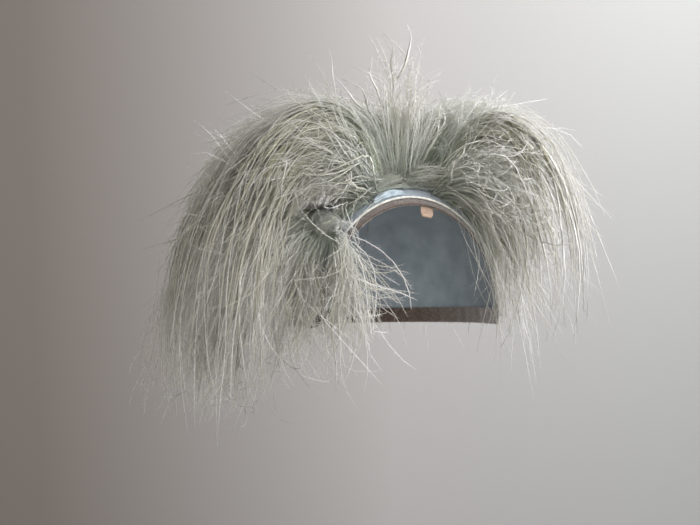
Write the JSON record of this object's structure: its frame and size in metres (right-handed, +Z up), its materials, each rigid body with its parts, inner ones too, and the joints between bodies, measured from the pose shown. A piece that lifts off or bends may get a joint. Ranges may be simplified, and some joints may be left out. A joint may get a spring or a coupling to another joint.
{
  "type": "ostrich feather hat",
  "caption": "Close cloth-covered half cap with a velvet band, covered with long drooping ostrich plumes in two lobes and a feather knot at the side.",
  "frame": {"origin": "the inside of the cap's top, where it sits on the crown of the head", "axes": "+Z up, the wearer faces -Y, +X is the wearer's left; the hat's open front points between -Y and -X"},
  "size_m": [0.3744, 0.3178, 0.3032],
  "materials": {
    "cap_cloth": "matt",
    "band_velvet": "matt pile",
    "binding_cord": "satin",
    "taupe_ribbon": "satin",
    "green_quill": "satin",
    "knot_feather": "soft",
    "ostrich_flue": "soft"
  },
  "bodies": {
    "root": {"cap_shell": "cap_cloth", "head_band": "band_velvet", "edge_binding": "binding_cord", "front_fold": "cap_cloth", "ribbon_tab": "taupe_ribbon", "front_quill": "green_quill", "feather_knot": "knot_feather", "front_spray": "ostrich_flue", "plume_left_front": "ostrich_flue", "plume_left": "ostrich_flue", "plume_left_back": "ostrich_flue", "plume_back": "ostrich_flue", "plume_right_back": "ostrich_flue", "plume_right": "ostrich_flue", "plume_left_face": "ostrich_flue", "plume_right_face": "ostrich_flue", "knot_fringe": "ostrich_flue", "under_plumes": "ostrich_flue"}
  },
  "joints": []
}
